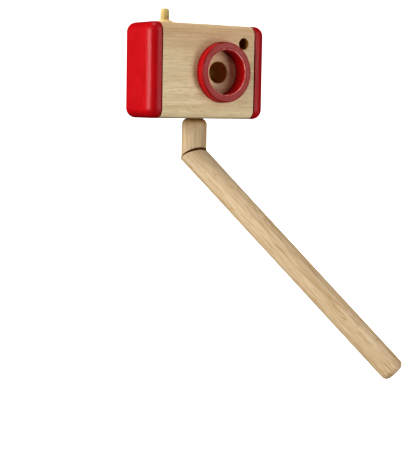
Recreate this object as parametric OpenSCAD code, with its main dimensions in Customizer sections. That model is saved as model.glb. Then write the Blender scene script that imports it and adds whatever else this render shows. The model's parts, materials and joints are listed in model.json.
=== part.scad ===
// Toy camera on a two-piece stick. The camera is a wooden block between two painted end caps,
// with a lens ring that turns and a sprung shutter button. The stick is cut on a slant below
// the camera, and its lower piece swivels on that cut, from straight to bent.
// The origin is where the hand holds the lower stick, +Z is up and the lens looks along -Y.

/* [Camera body] */
// Width of the camera over both end caps
body_w = 110; // [100:1:140]
// Depth of the camera from front to back, without the lens
body_d = 40; // [36:1:60]
// Height of the camera without the button
body_h = 74; // [66:1:95]
// Thickness of each end cap
cap_t = 11; // [9:0.5:16]
// Rounding of the block's long edges and of the caps' outer edges
edge_r = 7.5; // [3:0.5:9]
// Easing of the edges where the block and the caps meet
seam_ease = 0.7; // [0.2:0.1:1]

/* [Lens] */
// Lens centre to the right of the camera's middle
lens_x = 12; // [6:0.5:16]
// Lens centre above the camera's middle
lens_z = -0.5; // [-4:0.5:4]
// Outer diameter of the lens ring
ring_od = 47; // [40:0.5:51]
// Inner diameter of the lens ring
ring_bore_d = 35; // [32:0.5:38]
// Height of the ring in front of the block
ring_proud = 7; // [4:0.5:12]
// Depth of the recess from the ring's front to the hub
recess_depth = 12; // [9:0.5:14]
// Rounding of the ring's front edges
ring_round = 1.2; // [0.4:0.1:2]
// Thickness of the ring's inner lip, behind the hub's flange
ring_lip_t = 3; // [2:0.25:4]
// Thickness of the hub's flange
hub_flange_t = 3; // [2:0.25:4]
// Diameter of the hub's spigot, on which the ring turns
hub_spigot_d = 24; // [21:0.5:28]
// Length of the spigot that is glued into the block
hub_seat_l = 10; // [6:0.5:14]
// Diameter of the hole that one looks through
peephole_d = 17; // [12:0.5:19]
// Easing of that hole's front and back edges
peephole_ease = 0.8; // [0.2:0.1:1.2]

/* [Flash hole] */
// Hole centre to the right of the camera's middle
flash_x = 33; // [29:0.5:36]
// Hole centre above the camera's middle
flash_z = 22.5; // [20:0.5:26]
// Diameter of the hole
flash_d = 9; // [5:0.5:10]
// Depth of the hole
flash_depth = 12; // [6:1:20]
// Easing of the hole's edge
flash_ease = 0.4; // [0.2:0.1:0.8]

/* [Shutter button] */
// Button's middle from the camera's left end
button_from_end = 25.5; // [22:0.5:29]
// Diameter of the peg
button_d = 6.8; // [5:0.1:8]
// Height of the peg above the block
button_rise = 11.2; // [9:0.1:15]
// Travel of the button
button_travel = 3.5; // [2:0.25:5]
// Rounding of the peg's top
button_round = 2.2; // [1:0.1:2.4]
// Diameter of the peg's flange, under the collar
flange_d = 9.6; // [9:0.1:10.5]
// Thickness of the peg's flange
flange_t = 3; // [2:0.25:5]
// Diameter of the collar's dome
collar_d = 15; // [12:0.1:16]
// Height of the collar's dome
collar_rise = 2.9; // [2:0.1:4]
// Diameter of the collar's spigot and of its well in the block
collar_spigot_d = 11; // [10.5:0.1:11.5]
// Length of the collar's spigot
collar_spigot_l = 8; // [5:0.5:12]

/* [Button spring] */
// Height of the spring with the button up
spring_h = 12; // [9:0.5:14]
// Outer diameter of the spring
spring_d = 8; // [6:0.1:8.6]
// Diameter of the spring's wire
wire_d = 0.8; // [0.5:0.1:1]
// Turns of the spring
spring_turns = 5; // [4:1:6]

/* [Glue dowels] */
// Diameter of the dowels that hold the caps
dowel_d = 8; // [6:0.5:10]
// Length of a dowel inside its cap
dowel_in_cap = 7; // [4:0.5:8]
// Length of a dowel inside the block
dowel_in_block = 12; // [6:0.5:14]
// Height of the lower dowel's centre above the block's underside
dowel_low = 13; // [11:0.5:16]
// Wood left between the upper dowel and the button's well
dowel_web = 4; // [2:0.5:8]

/* [Stick] */
// Diameter of the stick
stick_d = 20; // [18:0.5:24]
// Length of the neck from the block to the middle of the slanted cut
neck_l = 29.2; // [27:0.2:40]
// Length of the lower stick from the middle of the slanted cut
handle_l = 236; // [160:1:300]
// Rounding of the stick's ends
stick_round = 5; // [2:0.5:7]
// Diameter of the dowel between the block and the neck
neck_dowel_d = 10; // [7:0.5:11]
// Length of the neck dowel inside the block
neck_dowel_up = 15; // [8:0.5:18]
// Length of the neck dowel inside the neck
neck_dowel_down = 14; // [8:0.5:15]
// Distance from the stick's free end to the middle of the grip
grip_from_end = 60; // [40:1:90]

/* [Swivel] */
// Slant of the cut, off square to the stick, in degrees
cut_slant = 30; // [15:1:32]
// Turn of the lower stick on the cut, from straight, in degrees
swivel_turn = 98; // [0:1:180]
// Thickness of the friction washer
washer_t = 0.9; // [0.4:0.1:1]
// Diameter of the friction washer
washer_d = 17; // [14:0.1:18]
// Diameter of the swivel pin
pin_d = 5; // [4:0.1:5.5]
// Length of the pin inside the lower stick
pin_in_handle = 12; // [8:0.5:12]
// Length of the pin inside the neck
pin_in_neck = 7; // [6.5:0.1:7.2]
// Outer diameter of the bush
bush_d = 8.6; // [8.2:0.1:9]
// Length of the bush
bush_l = 7.6; // [7.4:0.1:8]
// Diameter of the snap ring's wire
snap_wire_d = 1; // [0.8:0.05:1]
// Distance from the pin's inner end to the snap ring's middle
snap_from_end = 2; // [1.6:0.1:2.4]
// Gap between the ends of the snap ring, in degrees
snap_gap_angle = 30; // [15:1:60]

/* [Hidden] */
$fn = 64;

// Gap in a glued or pressed joint, in a running fit, and round a piece that moves freely
glue_gap = 0.05;
run_gap = 0.08;
free_gap = 0.35;
// How far a cut runs past the face that it opens
overrun = 1;

// Colours of the painted and bare wood
natural = [0.82, 0.70, 0.54];
stick_tone = [0.80, 0.67, 0.48];
dowel_tone = [0.78, 0.66, 0.50];
red = [0.78, 0.08, 0.10];
yellow = [0.93, 0.75, 0.28];
steel = [0.70, 0.71, 0.73];
nylon = [0.92, 0.92, 0.90];
dark = [0.16, 0.13, 0.11];

// Block between the caps
block_w = body_w - 2 * cap_t;
front_y = -body_d / 2;
top_z = body_h / 2;
under_z = -body_h / 2;

// Lens, from the ring's front face backwards
ring_front_y = front_y - ring_proud;
hub_front_y = ring_front_y + recess_depth;
flange_back_y = hub_front_y + hub_flange_t;
lip_front_y = flange_back_y + run_gap;
lip_back_y = lip_front_y + ring_lip_t;
counterbore_y = lip_back_y + run_gap;
spigot_end_y = counterbore_y + hub_seat_l;

// Button, from its top downwards
button_x = button_from_end - body_w / 2;
button_top_z = top_z + button_rise;
collar_under_z = top_z - collar_spigot_l;
flange_top_z = collar_under_z - glue_gap;
flange_under_z = flange_top_z - flange_t;
stop_z = flange_under_z - button_travel - glue_gap;
well_floor_z = flange_under_z - spring_h - glue_gap;

// Dowels
dowel_zs = [under_z + dowel_low, well_floor_z - dowel_web - dowel_d / 2];

// Spring wire as a helix: rings in a turn, corners of a ring, and the coil's own measures
coil_rings = 12;
coil_sides = 6;
coil_r = (spring_d - wire_d) / 2;
coil_rise = spring_h - wire_d - 2 * glue_gap;
coil_steps = spring_turns * coil_rings;
coil_points = [for (i = [0 : coil_steps])
    [coil_r * cos(360 * i / coil_rings), coil_r * sin(360 * i / coil_rings), coil_rise * i / coil_steps]];
coil_gap = min([for (i = [0 : coil_steps - coil_rings + 1]) for (j = [i + coil_rings - 1 : coil_steps])
    norm(coil_points[i] - coil_points[j])]) - wire_d;
echo(least_gap_between_turns = coil_gap);

// Slanted cut: its middle, its normal towards the lower stick, and the lower stick's direction
pivot = [0, 0, under_z - neck_l];
cut_normal = [0, -sin(cut_slant), -cos(cut_slant)];
down = [0, 0, -1];
handle_dir = down * cos(swivel_turn) + cross(cut_normal, down) * sin(swivel_turn)
    + cut_normal * (cut_normal * down) * (1 - cos(swivel_turn));
grip = pivot + handle_dir * (handle_l - grip_from_end);
snap_r = pin_d / 2;
groove_z = washer_t / 2 + pin_in_neck - snap_from_end;

// Places a piece of the camera: the camera's middle stands off the origin by the grip
module in_camera() {
    translate(-grip) children();
}

// Places a piece whose own origin is the middle of the cut and whose -Z is the cut's normal
module on_cut() {
    in_camera() translate(pivot) rotate([-cut_slant, 0, 0]) children();
}

// Places a piece drawn on the straight stick, turned on the cut with the lower stick
module in_handle() {
    in_camera() translate(pivot) rotate(a = swivel_turn, v = cut_normal) children();
}

// Turns a piece drawn along +Z so that it runs from the front of the camera to its back
module along_lens(y) {
    in_camera() translate([lens_x, y, lens_z]) rotate([-90, 0, 0]) children();
}

// Upper edge of a bar along +X, eased at its near end and, for both, at its far end
function eased_edge(length, half, both) = concat(
    [[0, half - seam_ease], [seam_ease, half]],
    both ? [[length - seam_ease, half], [length, half - seam_ease]] : [[length, half]]);

// Outline of such a bar, from its lower edge to its upper edge
module eased_outline(length, half, both) {
    edge = eased_edge(length, half, both);
    polygon(concat(edge, [for (i = [len(edge) - 1 : -1 : 0]) [edge[i][0], -edge[i][1]]]));
}

// Bar with the camera's outline from the side, along +X from X = 0, with its ends eased
module camera_bar(length, both) {
    depth = body_d - 2 * edge_r;
    height = body_h - 2 * edge_r;
    corner = concat([[0, 0]], eased_edge(length, edge_r, both), [[length, 0]]);
    translate([0, depth / 2, 0]) rotate([90, 0, 0])
        linear_extrude(depth) eased_outline(length, body_h / 2, both);
    translate([0, 0, -height / 2]) linear_extrude(height) eased_outline(length, body_d / 2, both);
    for (y = [-1, 1])
        for (z = [-1, 1])
            translate([0, y * depth / 2, z * height / 2]) rotate([0, 90, 0])
                rotate_extrude() polygon([for (p = corner) [p[1], p[0]]]);
}

// End cap with its flat face at X = 0 and its rounded face towards +X
module end_cap() {
    depth = body_d - 2 * edge_r;
    height = body_h - 2 * edge_r;
    intersection() {
        translate([0, -body_d / 2, -body_h / 2]) cube([cap_t, body_d, body_h]);
        union() {
            camera_bar(cap_t - edge_r, false);
            translate([0, -depth / 2, -height / 2]) cube([cap_t, depth, height]);
            translate([cap_t - edge_r, 0, 0]) rounded_frame(depth, height);
        }
    }
}

// Four rods and four balls along a rectangle in the plane X = 0
module rounded_frame(depth, height) {
    for (side = [-1, 1]) {
        translate([0, side * depth / 2, -height / 2]) cylinder(h = height, r = edge_r);
        translate([0, -depth / 2, side * height / 2]) rotate([-90, 0, 0]) cylinder(h = depth, r = edge_r);
        for (end = [-1, 1])
            translate([0, side * depth / 2, end * height / 2]) sphere(edge_r);
    }
}

// Pair of dowels, or of their holes, along +X from X = 0
module dowel_pair(length, d) {
    for (z = dowel_zs)
        translate([0, 0, z]) rotate([0, 90, 0]) cylinder(h = length, d = d);
}

// Round bar along +Z from Z = 0 whose far end is rounded
module rounded_bar(length, d, r) {
    rotate_extrude() {
        square([d / 2, length - r]);
        square([d / 2 - r, length]);
        intersection() {
            translate([d / 2 - r, length - r]) circle(r);
            square([d / 2, length]);
        }
    }
}

// Cut along +Z from Z = 0 that eases the edge of a hole in the face at Z = 0
module eased_edge_cut(d, ease) {
    reach = ease + overrun;
    translate([0, 0, -overrun]) cylinder(h = reach, d1 = d + 2 * reach, d2 = d);
}

// Half of space on the +Z side of the plane Z = 0, large enough for the stick
module stick_half() {
    reach = handle_l + neck_l + stick_d;
    translate([-reach, -reach, 0]) cube([2 * reach, 2 * reach, 2 * reach]);
}

module body_block() {
    color(natural) in_camera() difference() {
        translate([-block_w / 2, 0, 0]) camera_bar(block_w, true);
        translate([lens_x, 0, lens_z]) rotate([-90, 0, 0]) {
            translate([0, 0, front_y - overrun])
                cylinder(h = counterbore_y - front_y + overrun, d = ring_od + 2 * free_gap);
            translate([0, 0, counterbore_y - overrun])
                cylinder(h = hub_seat_l + overrun, d = hub_spigot_d + 2 * glue_gap);
            translate([0, 0, spigot_end_y - overrun])
                cylinder(h = body_d / 2 - spigot_end_y + 2 * overrun, d = peephole_d);
            translate([0, 0, body_d / 2]) mirror([0, 0, 1]) eased_edge_cut(peephole_d, peephole_ease);
        }
        translate([flash_x, front_y, flash_z]) rotate([-90, 0, 0]) {
            translate([0, 0, -overrun]) cylinder(h = flash_depth + overrun, d = flash_d);
            eased_edge_cut(flash_d, flash_ease);
        }
        translate([button_x, 0, 0]) {
            translate([0, 0, stop_z])
                cylinder(h = top_z - stop_z + overrun, d = collar_spigot_d + 2 * glue_gap);
            translate([0, 0, well_floor_z])
                cylinder(h = stop_z - well_floor_z + overrun, d = spring_d + 2 * free_gap);
        }
        translate([0, 0, under_z - overrun])
            cylinder(h = neck_dowel_up + glue_gap + overrun, d = neck_dowel_d + 2 * glue_gap);
        for (side = [-1, 1])
            mirror([side < 0 ? 1 : 0, 0, 0]) translate([block_w / 2 - dowel_in_block - glue_gap, 0, 0])
                dowel_pair(dowel_in_block + glue_gap + overrun, dowel_d + 2 * glue_gap);
    }
}

// Cap with its dowel holes, pointing along +X
module drilled_cap() {
    difference() {
        end_cap();
        translate([-overrun, 0, 0]) dowel_pair(dowel_in_cap + glue_gap + overrun, dowel_d + 2 * glue_gap);
    }
}

module left_end_cap() {
    color(red) in_camera() translate([-block_w / 2, 0, 0]) mirror([1, 0, 0]) drilled_cap();
}

module right_end_cap() {
    color(red) in_camera() translate([block_w / 2, 0, 0]) drilled_cap();
}

// Dowels of the cap at +X
module cap_dowels() {
    translate([block_w / 2 - dowel_in_block, 0, 0]) dowel_pair(dowel_in_block + dowel_in_cap, dowel_d);
}

module left_cap_dowels() {
    color(dowel_tone) in_camera() mirror([1, 0, 0]) cap_dowels();
}

module right_cap_dowels() {
    color(dowel_tone) in_camera() cap_dowels();
}

module lens_ring() {
    inner_r = ring_bore_d / 2;
    outer_r = ring_od / 2;
    wall = outer_r - inner_r;
    lip_r = hub_spigot_d / 2 + run_gap;
    color(red) along_lens(ring_front_y) rotate_extrude() {
        translate([inner_r, ring_round]) square([wall, lip_back_y - ring_front_y - ring_round]);
        translate([inner_r + ring_round, 0]) square([wall - 2 * ring_round, 2 * ring_round]);
        translate([inner_r + ring_round, ring_round]) circle(ring_round);
        translate([outer_r - ring_round, ring_round]) circle(ring_round);
        translate([lip_r, lip_front_y - ring_front_y]) square([outer_r - lip_r, ring_lip_t]);
    }
}

module lens_hub() {
    color(natural) along_lens(hub_front_y) difference() {
        union() {
            cylinder(h = hub_flange_t, d = ring_bore_d - 2 * free_gap);
            cylinder(h = spigot_end_y - hub_front_y - glue_gap, d = hub_spigot_d);
        }
        translate([0, 0, -overrun])
            cylinder(h = spigot_end_y - hub_front_y + 2 * overrun, d = peephole_d);
        eased_edge_cut(peephole_d, peephole_ease);
    }
}

module shutter_button() {
    color(yellow) in_camera() translate([button_x, 0, flange_under_z]) {
        cylinder(h = flange_t, d = flange_d);
        rounded_bar(button_top_z - flange_under_z, button_d, button_round);
    }
}

// Dome of the collar as part of a ball that meets the block at the collar's rim
module button_collar() {
    bore_d = button_d + 2 * run_gap;
    ball_r = (collar_d * collar_d / 4 + collar_rise * collar_rise) / (2 * collar_rise);
    color(natural) in_camera() translate([button_x, 0, top_z]) difference() {
        union() {
            translate([0, 0, -collar_spigot_l]) cylinder(h = collar_spigot_l, d = collar_spigot_d);
            intersection() {
                translate([0, 0, collar_rise - ball_r]) sphere(ball_r);
                cylinder(h = collar_rise + overrun, r = ball_r + overrun);
            }
        }
        translate([0, 0, -collar_spigot_l - overrun])
            cylinder(h = collar_spigot_l + collar_rise + 2 * overrun, d = bore_d);
    }
}

module button_spring() {
    ring_count = len(coil_points);
    corners = [for (i = [0 : coil_steps]) for (k = [0 : coil_sides - 1])
        let(turn = 360 * i / coil_rings, around = 360 * k / coil_sides,
            out = coil_r + wire_d / 2 * cos(around))
        [out * cos(turn), out * sin(turn), coil_points[i][2] + wire_d / 2 * sin(around)]];
    walls = [for (i = [0 : ring_count - 2]) for (k = [0 : coil_sides - 1]) for (half = [0, 1])
        let(a = i * coil_sides + k, b = i * coil_sides + (k + 1) % coil_sides,
            c = a + coil_sides, d = b + coil_sides)
        half == 0 ? [a, b, c] : [b, d, c]];
    ends = [for (k = [1 : coil_sides - 2]) for (far = [0, 1])
        let(base = far * (ring_count - 1) * coil_sides)
        far == 0 ? [base, base + k + 1, base + k] : [base, base + k, base + k + 1]];
    color(steel) in_camera() translate([button_x, 0, well_floor_z + glue_gap + wire_d / 2])
        polyhedron(points = corners, faces = concat(walls, ends));
}

module stick_upper() {
    color(stick_tone) difference() {
        in_camera() translate([0, 0, pivot[2] - stick_d])
            rounded_bar(neck_l + stick_d, stick_d, stick_round);
        on_cut() translate([0, 0, washer_t / 2]) mirror([0, 0, 1]) stick_half();
        in_camera() translate([0, 0, under_z - neck_dowel_down - glue_gap])
            cylinder(h = neck_dowel_down + glue_gap + overrun, d = neck_dowel_d + 2 * glue_gap);
        on_cut() cylinder(h = washer_t / 2 + bush_l + glue_gap, d = bush_d + 2 * glue_gap);
    }
}

module neck_dowel() {
    color(dowel_tone) in_camera() translate([0, 0, under_z - neck_dowel_down])
        cylinder(h = neck_dowel_up + neck_dowel_down, d = neck_dowel_d);
}

module stick_lower() {
    color(stick_tone) in_handle() difference() {
        translate([0, 0, stick_d]) rotate([180, 0, 0])
            rounded_bar(handle_l + stick_d, stick_d, stick_round);
        rotate([-cut_slant, 0, 0]) translate([0, 0, -washer_t / 2]) stick_half();
        rotate([-cut_slant, 0, 0]) translate([0, 0, -washer_t / 2 - pin_in_handle - glue_gap])
            cylinder(h = pin_in_handle + glue_gap + overrun, d = pin_d + 2 * glue_gap);
    }
}

module pivot_pin() {
    length = pin_in_handle + washer_t + pin_in_neck;
    color(steel) on_cut() difference() {
        translate([0, 0, -washer_t / 2 - pin_in_handle]) cylinder(h = length, d = pin_d);
        translate([0, 0, groove_z]) rotate_extrude()
            translate([snap_r, 0]) circle(d = snap_wire_d + 2 * glue_gap);
    }
}

module pivot_bush() {
    color(nylon) on_cut() difference() {
        translate([0, 0, washer_t / 2]) cylinder(h = bush_l, d = bush_d);
        translate([0, 0, -overrun])
            cylinder(h = washer_t / 2 + pin_in_neck + run_gap + overrun, d = pin_d + 2 * run_gap);
        translate([0, 0, groove_z]) rotate_extrude()
            translate([snap_r, 0]) circle(d = snap_wire_d + 2 * free_gap);
    }
}

module pivot_snap_ring() {
    color(steel) on_cut() translate([0, 0, groove_z])
        rotate_extrude(angle = 360 - snap_gap_angle) translate([snap_r, 0]) circle(d = snap_wire_d);
}

module friction_washer() {
    color(dark) on_cut() translate([0, 0, -washer_t / 2 + run_gap]) difference() {
        cylinder(h = washer_t - run_gap, d = washer_d);
        translate([0, 0, -overrun]) cylinder(h = washer_t + 2 * overrun, d = pin_d + 2 * free_gap);
    }
}

body_block();
left_end_cap();
right_end_cap();
left_cap_dowels();
right_cap_dowels();
lens_ring();
lens_hub();
shutter_button();
button_collar();
button_spring();
stick_upper();
neck_dowel();
stick_lower();
pivot_pin();
pivot_bush();
pivot_snap_ring();
friction_washer();
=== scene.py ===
import json
import math

import bmesh
import bpy
from mathutils import Matrix, Vector


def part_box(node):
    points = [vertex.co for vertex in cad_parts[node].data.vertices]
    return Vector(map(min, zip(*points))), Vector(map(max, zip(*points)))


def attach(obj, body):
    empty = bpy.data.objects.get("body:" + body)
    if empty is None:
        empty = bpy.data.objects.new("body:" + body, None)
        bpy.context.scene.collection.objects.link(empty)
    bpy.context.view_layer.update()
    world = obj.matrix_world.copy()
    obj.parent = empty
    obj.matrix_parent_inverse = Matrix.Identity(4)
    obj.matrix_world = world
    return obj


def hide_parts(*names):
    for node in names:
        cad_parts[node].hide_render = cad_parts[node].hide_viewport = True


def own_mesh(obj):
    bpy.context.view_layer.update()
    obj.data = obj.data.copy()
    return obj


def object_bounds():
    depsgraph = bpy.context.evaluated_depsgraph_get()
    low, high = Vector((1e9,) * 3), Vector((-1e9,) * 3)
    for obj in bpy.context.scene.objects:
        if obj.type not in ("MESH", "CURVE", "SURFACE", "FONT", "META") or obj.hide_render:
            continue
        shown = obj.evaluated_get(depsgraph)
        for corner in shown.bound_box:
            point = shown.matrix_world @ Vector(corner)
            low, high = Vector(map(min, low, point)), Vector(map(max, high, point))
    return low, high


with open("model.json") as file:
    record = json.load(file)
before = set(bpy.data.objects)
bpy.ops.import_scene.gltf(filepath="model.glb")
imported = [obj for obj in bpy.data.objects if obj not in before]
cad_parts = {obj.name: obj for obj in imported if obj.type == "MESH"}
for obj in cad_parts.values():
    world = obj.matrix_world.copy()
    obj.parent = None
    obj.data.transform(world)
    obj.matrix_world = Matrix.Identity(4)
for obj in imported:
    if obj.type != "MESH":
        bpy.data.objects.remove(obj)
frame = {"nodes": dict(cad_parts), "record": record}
cad_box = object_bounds()
nodes = frame["nodes"]
joints = {joint["name"]: joint for joint in frame["record"]["behaviour"]["joints"]}
mounts = {mount["name"]: mount for mount in frame["record"]["mounts"]}

# Photograph: its height and its focal length in pixels, and the turn of its camera
PHOTO_H, FOCAL_PX = 459, 1300
AZIMUTH, ELEVATION, ROLL = (math.radians(angle) for angle in (-35.05, 5.5, 0.99))
# Photograph's camera from the toy camera's middle, in metres: to the right, up, and back
CAMERA_FROM_MIDDLE = (0.01062, -0.12568, 1.03513)
SENSOR_MM = 36

# Directions of the wood's grain
X_AXIS, Z_AXIS = Vector((1, 0, 0)), Vector((0, 0, 1))
handle_axis = Vector(mounts["grip"]["axis"]).normalized()
# Way that the lens looks
AHEAD = (0, -1, 0)

block_low, block_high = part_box("body_block")
middle = (block_low + block_high) / 2
# Hole that one looks through: its radius, and how far past the back its mask ends
PEEPHOLE_RADIUS, PAST_BACK = 0.0085, 0.001
# Flash hole: its place from the block's middle, its radius, and the depth where its mask ends
FLASH_PLACE, FLASH_RADIUS, FLASH_DEPTH = Vector((0.033, 0, 0.0225)), 0.0045, 0.0125
# Both holes as a point on their axis along Y, their radius and their end
PEEPHOLE = (Vector(joints["lens_turn"]["pos_m"]), PEEPHOLE_RADIUS, block_high.y + PAST_BACK)
FLASH_HOLE = (middle + FLASH_PLACE, FLASH_RADIUS, block_low.y + FLASH_DEPTH)
# Slanted cut: a point on it and its normal
CUT = (Vector(joints["stick_swivel"]["pos_m"]), Vector(joints["stick_swivel"]["axis"]))

# Masks fade from their first distance to their second: outside a hole's wall, off the joints of the end
# caps, and off the middle plane of the cut
HOLE_FADE, JOINT_FADE, CUT_FADE = (0.00025, 0.00005), (0.0006, 0.0003), (0.00066, 0.00047)
# Fade past a hole's end
HOLE_END = 0.0002
# Left part of the cut, along X from its middle, where its painted shade reaches further out
CUT_LEFT, CUT_SHADE_SPILL = (0.002, -0.006), 0.00024
# Distance of the outer rim from the lens' axis
OUTER_RIM = (0.019, 0.022)
# Depth of the painted shade under the neck's glued joint, and of the waves in the heart's lower end
NECK_SHADE_DEPTH, HEART_WAVES = 0.007, 0.030
# Height of the heart's lower end over the block's middle
HEART_FROM = (0.022, 0.044)
# Faces by how far their normal points up, on the underside, or ahead, on the front and on its rims
UNDERSIDE, FRONT = (-0.80, -0.98), (0.93, 0.99)
RIM_STARTS, RIM_ENDS = (0.40, 0.62), (0.97, 0.86)
# Worn edges: their radius, and how far the rounded normal then points along the true one
EDGE_RADIUS, EDGE = 0.0007, (0.995, 0.90)

# Grain as noise: its scale along the grain and across it for each metre, its detail and its roughness
BANDS, GROWTH_LINES, FIBRES = (7, 130, 3, 0.55), (11, 760, 2, 0.6), (40, 900, 3, 0.6)
PORES, FLECKS, FLECK_PATCHES = (60, 1300, 1, 0.5), (150, 1150, 2, 0.6), (22, 60, 2, 0.5)
PAINT_FIBRES, PAINT_PORES, PAINT_STREAKS = (40, 1300, 2, 0.5), (110, 2100, 1, 0.5), (10, 480, 2, 0.5)
# Clouds, worn patches and specks in paint as noise: their scale for each metre and their detail
PAINT_CLOUD, PAINT_PATCHES, PAINT_SPECKS = (70.0, 3.0), (420.0, 3.0), (1400.0, 2.0)
# Rings left by the lathe as noise: their scale for each metre and their detail
LATHE_RINGS = (950.0, 1.0)
# Values of the noise between which each of these comes in
BANDS_SHOW, LINES_SHOW, FIBRES_SHOW, PORES_SHOW = (0.24, 0.76), (0.55, 0.70), (0.38, 0.62), (0.62, 0.74)
FLECKS_SHOW, FLECK_PATCHES_SHOW, LATHE_SHOW = (0.54, 0.70), (0.36, 0.62), (0.52, 0.68)
PAINT_PORES_SHOW, PAINT_STREAKS_SHOW = (0.58, 0.74), (0.50, 0.68)
PAINT_PATCHES_SHOW, PAINT_SPECKS_SHOW = (0.20, 0.65), (0.46, 0.66)
# Values that most of a noise lies between
NOISE_SPAN = (0.3, 0.7)
# Share of the line's tone in growth lines, in fibres and in pores as a multiple of that, and in the
# lathe's rings
LINED, FIBRE_SHARE, PORE_SHARE, LATHE_SHARE = 0.36, 0.6, 1.3, 0.25
# Shares of the deep tone in the paint's pores and streaks, and of the worn tone in its specks and rings
PAINT_PORE_SHARE, PAINT_STREAK_SHARE, PAINT_SPECK_SHARE, PAINT_LATHE_SHARE = 0.07, 0.6, 0.16, 0.16
# How far the grain strays, and the scale of its straying for each metre
STRAY, STRAY_SCALE = 0.003, 18.0
# Roughness and gloss of the lacquer on wood, and gloss of paint
LACQUER_ROUGH, LACQUER_GLOSS, PAINT_GLOSS = (0.46, 0.62), 0.35, 0.5
# Plain materials: the detail of their cloud, and the change of their roughness to either side
PLAIN_DETAIL, PLAIN_ROUGH = 4.0, 0.08
# Greatest height of the bumps of grain and of plain materials, and the strength of the bumps
GRAIN_HEIGHT, PLAIN_HEIGHT = 0.00012, 0.00005
WOOD_BUMP, PAINT_BUMP, PLAIN_BUMP = 0.35, 0.55, 0.15
# Height of wood's fibres for each depth of its pores, and depth of paint's pores for each of its streaks
FIBRE_HEIGHT, PAINT_PORE_DEPTH = 0.35, 0.4


def put(tree, kind, settings=None, **inputs):
    """Adds a shader node, with its settings and with its inputs as values or links."""
    made = tree.nodes.new("ShaderNode" + kind)
    for key, value in (settings or {}).items():
        setattr(made, key, value)
    for key, value in inputs.items():
        socket = made.inputs[int(key[1:])] if key[1:].isdigit() else made.inputs[key.replace("_", " ")]
        if isinstance(value, bpy.types.NodeSocket):
            tree.links.new(value, socket)
        else:
            socket.default_value = value
    return made


def mix(tree, factor, first, second, blend="MIX"):
    """Colour between two colours, each a value or a link."""
    made = put(tree, "Mix", {"data_type": "RGBA", "blend_type": blend}, i0=factor, i6=first, i7=second)
    return made.outputs[2]


def math_node(tree, operation, *values):
    """Result of an operation on one, two or three values, each a number or a link."""
    inputs = {f"i{place}": value for place, value in enumerate(values)}
    return put(tree, "Math", {"operation": operation}, **inputs).outputs[0]


def times(tree, first, *others):
    """Product of values, each a number or a link."""
    for other in others:
        first = math_node(tree, "MULTIPLY", first, other)
    return first


def dot(tree, first, second):
    """Dot product of two vectors, each a value or a link."""
    return put(tree, "VectorMath", {"operation": "DOT_PRODUCT"}, i0=first, i1=second).outputs["Value"]


def part_of(tree, vector, axis):
    """One coordinate of a vector, by the letter of its axis."""
    return put(tree, "SeparateXYZ", Vector=vector).outputs[axis]


def steps(tree, value, low, high):
    """Value carried smoothly from low and high to 0 and 1."""
    made = put(tree, "MapRange", {"interpolation_type": "SMOOTHSTEP"},
               Value=value, From_Min=low, From_Max=high)
    return made.outputs[0]


def carried(tree, value, span, goal):
    """Value carried from one span to another, and held at its ends."""
    made = put(tree, "MapRange", Value=value, From_Min=span[0], From_Max=span[1],
               To_Min=goal[0], To_Max=goal[1])
    return made.outputs[0]


def new_material(name):
    """Material with its node tree and its shader."""
    material = bpy.data.materials.new(name)
    material.use_nodes = True
    tree = material.node_tree
    return material, tree, tree.nodes["Principled BSDF"]


def surface(tree, shader, tone, rough, height, bump, reach=GRAIN_HEIGHT):
    """Gives a shader its tone, its roughness, and bumps of some strength and greatest height."""
    bumped = put(tree, "Bump", Strength=bump, Distance=reach, Height=height)
    for key, value in (("Base Color", tone), ("Roughness", rough), ("Normal", bumped.outputs[0])):
        tree.links.new(value, shader.inputs[key])


def noise(tree, place, scale, detail, rough=0.5):
    """Cloudy values from 0 to 1."""
    return put(tree, "TexNoise", Vector=place, Scale=scale, Detail=detail, Roughness=rough).outputs["Fac"]


def stretched(tree, place, along, across, detail, rough):
    """Noise drawn out along the grain."""
    scaled = put(tree, "Mapping", Vector=place, Scale=(along, across, across)).outputs[0]
    return noise(tree, scaled, 1.0, detail, rough)


def marks(tree, place, grain, shown):
    """Marks along the grain, from 0 to 1 where the grain's noise passes the values shown."""
    return steps(tree, stretched(tree, place, *grain), *shown)


def grain_space(tree, here, along, stray=STRAY):
    """Coordinates in the piece's own space, turned so that the grain runs along X and strays a little."""
    turn = along.rotation_difference(X_AXIS).to_euler()
    place = put(tree, "Mapping", Vector=here, Rotation=turn).outputs[0]
    wander = put(tree, "TexNoise", Vector=place, Scale=STRAY_SCALE, Detail=1.0).outputs["Color"]
    strayed = put(tree, "VectorMath", {"operation": "MULTIPLY_ADD"},
                  i0=wander, i1=(0, stray, stray), i2=place)
    return strayed.outputs[0]


def from_axis(tree, here, axis):
    """Distance from a line along Y."""
    flat = put(tree, "VectorMath", {"operation": "MULTIPLY"}, i0=here, i1=(1, 0, 1)).outputs[0]
    spot = (axis.x, 0, axis.z)
    return put(tree, "VectorMath", {"operation": "DISTANCE"}, i0=flat, i1=spot).outputs["Value"]


def lathe_marks(tree, reach):
    """Fine rings about the axis that a piece was turned on, from the distance to that axis."""
    scale, detail = LATHE_RINGS
    rings = put(tree, "TexNoise", {"noise_dimensions": "1D"}, W=reach, Scale=scale, Detail=detail)
    return steps(tree, rings.outputs["Fac"], *LATHE_SHOW)


def inside_hole(tree, here, hole):
    """1 on the wall and the floor of a drilled hole along Y, and 0 outside it."""
    axis, radius, end = hole
    reach = from_axis(tree, here, axis)
    before = steps(tree, part_of(tree, here, "Y"), end + HOLE_END, end)
    return times(tree, before, steps(tree, reach, radius + HOLE_FADE[0], radius + HOLE_FADE[1]))


def in_joint(tree, here):
    """1 in the eased joints between the block and its end caps, and 0 away from them."""
    across = math_node(tree, "SUBTRACT", part_of(tree, here, "X"), middle.x)
    half_width = (block_high.x - block_low.x) / 2
    off = math_node(tree, "SUBTRACT", math_node(tree, "ABSOLUTE", across), half_width)
    return steps(tree, math_node(tree, "ABSOLUTE", off), *JOINT_FADE)


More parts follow.
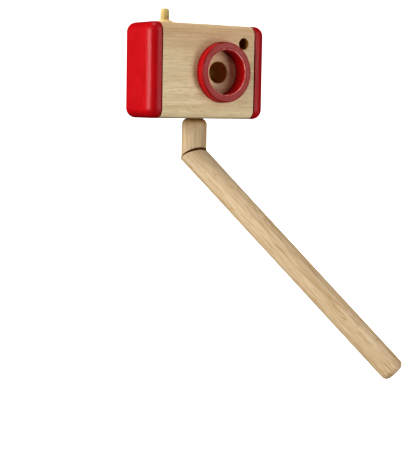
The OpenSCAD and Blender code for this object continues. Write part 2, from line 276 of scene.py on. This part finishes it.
def cut_gap_shade_mask(tree, here):
    """Where the painted shade of the cut's gap goes: 1 on the faces of the slanted cut and, to the left,
    on its edge, and 0 on the stick's outside.
    """
    spot, normal = CUT
    off = math_node(tree, "SUBTRACT", dot(tree, here, normal), spot.dot(normal))
    left = steps(tree, part_of(tree, here, "X"), spot.x + CUT_LEFT[0], spot.x + CUT_LEFT[1])
    off = math_node(tree, "SUBTRACT", math_node(tree, "ABSOLUTE", off), times(tree, left, CUT_SHADE_SPILL))
    return steps(tree, off, *CUT_FADE)


def wood(name, along, light, dark, line, lined=LINED, stray=STRAY, heart=None, holes=(), cut=False,
         joined=False, turned=False, flecked=0.0, shaded=None, shaded_underside=False):
    """Pale hardwood: bands, thin growth lines, fibres and short pores along the grain, under matt lacquer.

    The heart is a browner tone towards the top. Drilled holes are darkened with painted shade, the faces
    of the cut carry the painted shade of its gap, and the caps' paint has run into the joints of a joined
    piece. A turned piece has marks of the lathe round the lens' axis, a flecked one has more short pores
    in patches, and a shaded one has painted shade that darkens it towards the height of its glued joint. A
    piece with a shaded underside has painted shade there.
    """
    material, tree, shader = new_material(name)
    coordinates = put(tree, "TexCoord")
    here = coordinates.outputs["Object"]
    place = grain_space(tree, here, along, stray)
    bands = stretched(tree, place, *BANDS)
    lines = marks(tree, place, GROWTH_LINES, LINES_SHOW)
    fibres = stretched(tree, place, *FIBRES)
    pores = marks(tree, place, PORES, PORES_SHOW)
    tone = mix(tree, steps(tree, bands, *BANDS_SHOW), dark, light)
    if heart:
        wavy = math_node(tree, "MULTIPLY_ADD", bands, HEART_WAVES, part_of(tree, here, "Z"))
        aged = steps(tree, wavy, middle.z + HEART_FROM[0], middle.z + HEART_FROM[1])
        tone = mix(tree, aged, tone, heart, "MULTIPLY")
        lines = times(tree, lines, math_node(tree, "ADD", aged, 1.0))
    tone = mix(tree, times(tree, lines, lined), tone, line)
    tone = mix(tree, times(tree, steps(tree, fibres, *FIBRES_SHOW), FIBRE_SHARE * lined), tone, line)
    tone = mix(tree, times(tree, pores, PORE_SHARE * lined), tone, line)
    if flecked:
        flecks = marks(tree, place, FLECKS, FLECKS_SHOW)
        patches = marks(tree, place, FLECK_PATCHES, FLECK_PATCHES_SHOW)
        tone = mix(tree, times(tree, flecks, patches, flecked), tone, line)
    if turned:
        rings = lathe_marks(tree, from_axis(tree, here, PEEPHOLE[0]))
        tone = mix(tree, times(tree, rings, LATHE_SHARE), tone, line)
    if shaded:
        # Painted shade on the neck under its glued joint with the block
        below = steps(tree, part_of(tree, here, "Z"), shaded - NECK_SHADE_DEPTH, shaded)
        tone = mix(tree, below, tone, NECK_JOINT_SHADE, "MULTIPLY")
    if shaded_underside:
        # Painted shade on faces that point down
        under = steps(tree, part_of(tree, coordinates.outputs["Normal"], "Z"), *UNDERSIDE)
        tone = mix(tree, under, tone, UNDERSIDE_SHADE, "MULTIPLY")
    for hole in holes:
        # Painted shade on the walls and floor of each drilled hole
        tone = mix(tree, inside_hole(tree, here, hole), tone, HOLE_SHADE, "MULTIPLY")
    if cut:
        # Painted shade in the gap at the slanted cut
        tone = mix(tree, cut_gap_shade_mask(tree, here), tone, CUT_GAP_SHADE, "MULTIPLY")
    if joined:
        tone = mix(tree, in_joint(tree, here), tone, JOINT_RED)
    height = math_node(tree, "SUBTRACT", times(tree, fibres, FIBRE_HEIGHT), pores)
    surface(tree, shader, tone, carried(tree, fibres, NOISE_SPAN, LACQUER_ROUGH), height, WOOD_BUMP)
    shader.inputs["Specular IOR Level"].default_value = LACQUER_GLOSS
    return material


def paint(name, along, colour, deep, worn_and_highlit, rough, pale_edges, turned=None, joined=False):
    """Satin paint on wood: the grain shows faintly through it, and it is thin and pale on the edges.

    Turned is the duller tone of a front face that was cut on a lathe, whose inner rim is pale with wear
    and a painted highlight, and whose outer rim is dark. A joined piece has dirt in its joint with the
    block.
    """
    material, tree, shader = new_material(name)
    coordinates = put(tree, "TexCoord")
    here = coordinates.outputs["Object"]
    place = grain_space(tree, here, along)
    cloud = noise(tree, place, *PAINT_CLOUD)
    fibres = stretched(tree, place, *PAINT_FIBRES)
    pores = marks(tree, place, PAINT_PORES, PAINT_PORES_SHOW)
    patchy = steps(tree, noise(tree, place, *PAINT_PATCHES), *PAINT_PATCHES_SHOW)
    streaks = marks(tree, place, PAINT_STREAKS, PAINT_STREAKS_SHOW)
    tone = mix(tree, steps(tree, cloud, *NOISE_SPAN), deep, colour)
    tone = mix(tree, times(tree, pores, PAINT_PORE_SHARE), tone, deep)
    tone = mix(tree, times(tree, streaks, PAINT_STREAK_SHARE), tone, deep)
    rounded = put(tree, "Bevel", {"samples": 4}, Radius=EDGE_RADIUS).outputs[0]
    edge = steps(tree, dot(tree, rounded, put(tree, "NewGeometry").outputs["Normal"]), *EDGE)
    if turned:
        ahead = dot(tree, coordinates.outputs["Normal"], AHEAD)
        flat = steps(tree, ahead, *FRONT)
        specks = steps(tree, noise(tree, place, *PAINT_SPECKS), *PAINT_SPECKS_SHOW)
        tone = mix(tree, flat, tone, turned)
        tone = mix(tree, times(tree, flat, specks, PAINT_SPECK_SHARE), tone, worn_and_highlit)
        reach = from_axis(tree, here, PEEPHOLE[0])
        tone = mix(tree, times(tree, flat, lathe_marks(tree, reach), PAINT_LATHE_SHARE), tone, worn_and_highlit)
        rim = times(tree, steps(tree, ahead, *RIM_STARTS), steps(tree, ahead, *RIM_ENDS))
        outer = steps(tree, reach, *OUTER_RIM)
        tone = mix(tree, times(tree, rim, outer), tone, GRIME, "MULTIPLY")
        # On a turned face only the inner rim takes the pale tone: wear and a painted highlight
        edge = times(tree, rim, math_node(tree, "SUBTRACT", 1.0, outer))
    tone = mix(tree, times(tree, edge, patchy, pale_edges), tone, worn_and_highlit)
    if joined:
        tone = mix(tree, in_joint(tree, here), tone, GRIME, "MULTIPLY")
    hollows = math_node(tree, "ADD", times(tree, pores, PAINT_PORE_DEPTH), streaks)
    height = math_node(tree, "SUBTRACT", fibres, hollows)
    surface(tree, shader, tone, carried(tree, cloud, NOISE_SPAN, rough), height, PAINT_BUMP)
    shader.inputs["Specular IOR Level"].default_value = PAINT_GLOSS
    return material


def plain(name, colour, dark, rough, metal, scale):
    """Moulded or drawn material with a faint cloud in its tone and its shine."""
    material, tree, shader = new_material(name)
    cloud = noise(tree, put(tree, "TexCoord").outputs["Object"], scale, PLAIN_DETAIL)
    varied = carried(tree, cloud, (0, 1), (rough - PLAIN_ROUGH, rough + PLAIN_ROUGH))
    surface(tree, shader, mix(tree, cloud, dark, colour), varied, cloud, PLAIN_BUMP, PLAIN_HEIGHT)
    shader.inputs["Metallic"].default_value = metal
    return material


BODY_LIGHT, BODY_DARK, BODY_LINE = (0.86, 0.74, 0.515, 1), (0.71, 0.57, 0.355, 1), (0.47, 0.33, 0.18, 1)
HEART = (0.89, 0.785, 0.75, 1)
HUB_LIGHT, HUB_DARK = (0.90, 0.75, 0.51, 1), (0.80, 0.60, 0.37, 1)
COLLAR_LIGHT, COLLAR_DARK = (0.88, 0.69, 0.36, 1), (0.76, 0.56, 0.26, 1)
STICK_LIGHT, STICK_DARK, STICK_LINE = (0.69, 0.562, 0.395, 1), (0.61, 0.48, 0.32, 1), (0.36, 0.20, 0.07, 1)
NECK_LIGHT, NECK_DARK = (0.63, 0.51, 0.35, 1), (0.50, 0.365, 0.22, 1)
# Painted shade for the drilled holes and for the gap at the slanted cut, and a darker tone for joints and
# the ring's outer rim
HOLE_SHADE, CUT_GAP_SHADE, GRIME = (0.74, 0.56, 0.31, 1), (0.30, 0.19, 0.10, 1), (0.50, 0.40, 0.40, 1)
# Painted shade under the neck's glued joint and on the block's underside
NECK_JOINT_SHADE, UNDERSIDE_SHADE = (0.98, 0.84, 0.63, 1), (0.52, 0.46, 0.43, 1)
RED, DEEP_RED, WORN_AND_HIGHLIT_RED = (0.455, 0.0085, 0.0145, 1), (0.415, 0.007, 0.012, 1), (0.80, 0.44, 0.38, 1)
TURNED_RED, JOINT_RED = (0.325, 0.022, 0.020, 1), (0.26, 0.040, 0.028, 1)
YELLOW, DEEP_YELLOW, WORN_YELLOW = (0.66, 0.555, 0.285, 1), (0.53, 0.385, 0.15, 1), (0.84, 0.72, 0.50, 1)
STEEL, DARK_STEEL = (0.62, 0.63, 0.65, 1), (0.45, 0.46, 0.48, 1)
NYLON, DARK_NYLON = (0.88, 0.88, 0.85, 1), (0.80, 0.80, 0.77, 1)
RUBBER, DARK_RUBBER = (0.055, 0.030, 0.012, 1), (0.030, 0.016, 0.006, 1)
# Share of the line's tone in the hub and the sticks, and how far the sticks' grain strays
HUB_LINED, STICK_LINED, STICK_STRAY = 0.18, 0.45, 0.0012

body_wood = wood("body_wood", X_AXIS, BODY_LIGHT, BODY_DARK, BODY_LINE, heart=HEART,
                 holes=(PEEPHOLE, FLASH_HOLE), joined=True, flecked=0.42, shaded_underside=True)
hub_wood = wood("turned_wood", X_AXIS, HUB_LIGHT, HUB_DARK, BODY_LINE, HUB_LINED,
                holes=(PEEPHOLE,), turned=True)
collar_wood = wood("collar_wood", Z_AXIS, COLLAR_LIGHT, COLLAR_DARK, BODY_LINE)
neck_wood = wood("neck_wood", Z_AXIS, NECK_LIGHT, NECK_DARK, STICK_LINE, STICK_LINED, STICK_STRAY,
                 cut=True, shaded=block_low.z)
handle_wood = wood("handle_wood", handle_axis, STICK_LIGHT, STICK_DARK, STICK_LINE, STICK_LINED,
                   STICK_STRAY, cut=True, flecked=0.7)
dowel_wood_x = wood("dowel_wood_across", X_AXIS, BODY_LIGHT, BODY_DARK, BODY_LINE)
dowel_wood_z = wood("dowel_wood_upright", Z_AXIS, BODY_LIGHT, BODY_DARK, BODY_LINE)
cap_red = paint("cap_red", Z_AXIS, RED, DEEP_RED, WORN_AND_HIGHLIT_RED, rough=(0.32, 0.37), pale_edges=0.25, joined=True)
ring_red = paint("ring_red", X_AXIS, RED, DEEP_RED, WORN_AND_HIGHLIT_RED, rough=(0.36, 0.46), pale_edges=0.95,
                 turned=TURNED_RED)
peg_yellow = paint("peg_yellow", Z_AXIS, YELLOW, DEEP_YELLOW, WORN_YELLOW, rough=(0.42, 0.54), pale_edges=0.35)
steel = plain("drawn_steel", STEEL, DARK_STEEL, rough=0.32, metal=1.0, scale=900.0)
nylon = plain("moulded_nylon", NYLON, DARK_NYLON, rough=0.45, metal=0.0, scale=300.0)
rubber = plain("washer_rubber", RUBBER, DARK_RUBBER, rough=0.75, metal=0.0, scale=700.0)

LOOKS = {
    "body_block": body_wood,
    "left_end_cap": cap_red,
    "right_end_cap": cap_red,
    "left_cap_dowels": dowel_wood_x,
    "right_cap_dowels": dowel_wood_x,
    "lens_ring": ring_red,
    "lens_hub": hub_wood,
    "shutter_button": peg_yellow,
    "button_collar": collar_wood,
    "button_spring": steel,
    "stick_upper": neck_wood,
    "neck_dowel": dowel_wood_z,
    "stick_lower": handle_wood,
    "pivot_pin": steel,
    "pivot_bush": nylon,
    "pivot_snap_ring": steel,
    "friction_washer": rubber,
}
for name, material in LOOKS.items():
    nodes[name].data.materials.clear()
    nodes[name].data.materials.append(material)

# Shutter's spring: its wire and its turns, with the rings of each turn and the sides of each ring
SPRING_WIRE, SPRING_TURNS = 0.0008, 5
SPRING_RINGS, SPRING_SIDES = 32, 12
# Part of a turn that lies flat at each end, and its rise in wires
FLAT_TURN, FLAT_RISE = 0.75, 1.02


def coil_spring():
    """Round wire wound into the shutter's spring; the coil is rigid and does not shorten as the peg goes
    down.
    """
    low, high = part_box("button_spring")
    centre = (low + high) / 2
    wire, radius = SPRING_WIRE / 2, (high.x - low.x - SPRING_WIRE) / 2
    rise = high.z - low.z - SPRING_WIRE
    mesh = bmesh.new()
    rings = []
    for step in range(SPRING_TURNS * SPRING_RINGS + 1):
        turn = step / SPRING_RINGS
        share = min(max((turn - FLAT_TURN) / (SPRING_TURNS - 2 * FLAT_TURN), 0), 1)
        # Flat turns lie on the open ones, a wire apart
        climb = min(turn, FLAT_TURN) / FLAT_TURN * SPRING_WIRE * FLAT_RISE
        climb += max(turn - SPRING_TURNS + FLAT_TURN, 0) / FLAT_TURN * SPRING_WIRE * FLAT_RISE
        height = low.z + wire + climb + share * (rise - 2 * SPRING_WIRE * FLAT_RISE)
        angle = 2 * math.pi * turn
        outward = Vector((math.cos(angle), math.sin(angle), 0))
        spot = Vector((centre.x, centre.y, height)) + outward * radius
        ring = []
        for side in range(SPRING_SIDES):
            around = 2 * math.pi * side / SPRING_SIDES
            off = wire * (math.cos(around) * outward + math.sin(around) * Z_AXIS)
            ring.append(mesh.verts.new(spot + off))
        rings.append(ring)
    for first, second in zip(rings, rings[1:]):
        for side in range(SPRING_SIDES):
            after = (side + 1) % SPRING_SIDES
            mesh.faces.new((first[side], second[side], second[after], first[after]))
    mesh.faces.new(rings[0])
    mesh.faces.new(reversed(rings[-1]))
    bmesh.ops.recalc_face_normals(mesh, faces=mesh.faces)
    data = bpy.data.meshes.new("shutter_spring")
    mesh.to_mesh(data)
    mesh.free()
    data.shade_smooth()
    data.materials.append(steel)
    spring = bpy.data.objects.new("shutter_spring", data)
    bpy.context.scene.collection.objects.link(spring)
    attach(spring, "camera")
    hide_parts("button_spring")
    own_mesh(spring)


def photo_camera():
    """Camera at the photograph's view."""
    back = Vector((math.sin(AZIMUTH) * math.cos(ELEVATION), -math.cos(AZIMUTH) * math.cos(ELEVATION),
                   math.sin(ELEVATION)))
    level = Vector((math.cos(AZIMUTH), math.sin(AZIMUTH), 0))
    upright = back.cross(level)
    right = math.cos(ROLL) * level + math.sin(ROLL) * upright
    up = math.cos(ROLL) * upright - math.sin(ROLL) * level
    data = bpy.data.cameras.new("photo_camera")
    data.sensor_fit = "VERTICAL"
    data.sensor_width = data.sensor_height = SENSOR_MM
    data.lens = SENSOR_MM * FOCAL_PX / PHOTO_H
    camera = bpy.data.objects.new("photo_camera", data)
    bpy.context.scene.collection.objects.link(camera)
    across, above, behind = CAMERA_FROM_MIDDLE
    place = Matrix((right, up, back)).transposed().to_4x4()
    place.translation = middle + across * right + above * up + behind * back
    camera.matrix_world = place
    bpy.context.scene.camera = camera


# Soft lights: their distance and their height in metres
LIGHT_DISTANCE, LIGHT_HEIGHT = 3.0, 1.3
# Each light's direction from the toy camera, its brightness on a white surface there, whether it shines on
# gloss as a lamp does or only fills as a reflector does, and its width
LIGHTS = (
    ("left", (-0.99, -0.10, 0.1), 0.48, True, 2.4),
    ("left_high", (-0.9, -0.1, 0.9), 0.34, False, 1.3),
    ("left_front", (-0.85, -0.5, 0.5), 0.08, False, 1.3),
    ("left_low", (-0.9, -0.2, -0.4), 0.32, False, 1.3),
    ("left_back", (-0.8, 0.6, 0.2), 0.25, False, 1.3),
    ("front", (0.57, -0.82, 0.1), 0.13, True, 1.3),
    ("front_high", (0.5, -0.7, 0.5), 0.105, True, 1.3),
    ("front_low", (0.6, -0.7, -0.4), 0.335, False, 1.3),
    ("right", (1.0, -0.15, 0.0), 0.08, False, 1.3),
    ("right_low", (1.0, -0.25, -0.6), 0.07, False, 1.3),
    ("right_back", (0.75, 0.65, 0.25), 0.19, False, 1.3),
    ("back", (0.45, 0.75, 0.75), 0.40, False, 1.3),
    ("above", (0.0, 0.0, 1.0), 0.185, True, 1.3),
)
# Half the floor's width, and how far it lies under the part
FLOOR_REACH, FLOOR_DROP = 60.0, 0.002
WHITE, FLOOR_GREY, FLOOR_ROUGH = (1, 1, 1, 1), (0.75, 0.75, 0.75, 1), 0.9
# Strength of the surroundings' own light
SURROUNDINGS = 0.01


def softbox(name, direction, brightness, shine, width):
    """Rectangular light that looks at the toy camera."""
    data = bpy.data.lights.new(name, "AREA")
    data.shape = "RECTANGLE"
    data.size, data.size_y = width, LIGHT_HEIGHT
    data.energy = brightness * (math.pi * LIGHT_DISTANCE) ** 2
    light = bpy.data.objects.new(name, data)
    bpy.context.scene.collection.objects.link(light)
    towards = Vector(direction).normalized()
    light.location = middle + towards * LIGHT_DISTANCE
    light.rotation_mode = "QUATERNION"
    light.rotation_quaternion = towards.to_track_quat("Z", "Y")
    light.visible_camera = False
    light.visible_glossy = shine


def white_floor():
    """White floor under the part, which throws no light and no shadow on it."""
    mesh = bpy.data.meshes.new("floor")
    level = cad_box[0].z - FLOOR_DROP
    corners = [(x * FLOOR_REACH, y * FLOOR_REACH, level) for x, y in ((-1, -1), (1, -1), (1, 1), (-1, 1))]
    mesh.from_pydata(corners, [], [(0, 1, 2, 3)])
    floor = bpy.data.objects.new("floor", mesh)
    bpy.context.scene.collection.objects.link(floor)
    material, _, shader = new_material("floor_white")
    shader.inputs["Base Color"].default_value = FLOOR_GREY
    shader.inputs["Roughness"].default_value = FLOOR_ROUGH
    shader.inputs["Specular IOR Level"].default_value = 0.0
    shader.inputs["Emission Color"].default_value = WHITE
    shader.inputs["Emission Strength"].default_value = 1.0
    floor.data.materials.append(material)
    floor.visible_diffuse = False
    floor.visible_glossy = False
    floor.visible_shadow = False


def studio():
    """White floor and surroundings, and the soft lights round the toy camera."""
    white_floor()
    world = bpy.data.worlds.new("studio")
    world.use_nodes = True
    bpy.context.scene.world = world
    tree = world.node_tree
    shown = tree.nodes["Background"]
    shown.inputs["Strength"].default_value = 1.0
    shown.inputs["Color"].default_value = WHITE
    soft = put(tree, "Background", Color=WHITE, Strength=SURROUNDINGS)
    seen = put(tree, "LightPath").outputs["Is Camera Ray"]
    both = put(tree, "MixShader", i0=seen, i1=soft.outputs[0], i2=shown.outputs[0])
    tree.links.new(both.outputs[0], tree.nodes["World Output"].inputs["Surface"])
    for light in LIGHTS:
        softbox(*light)
    bpy.context.scene.view_settings.view_transform = "Standard"
    bpy.context.scene.view_settings.look = "High Contrast"


coil_spring()
photo_camera()
studio()
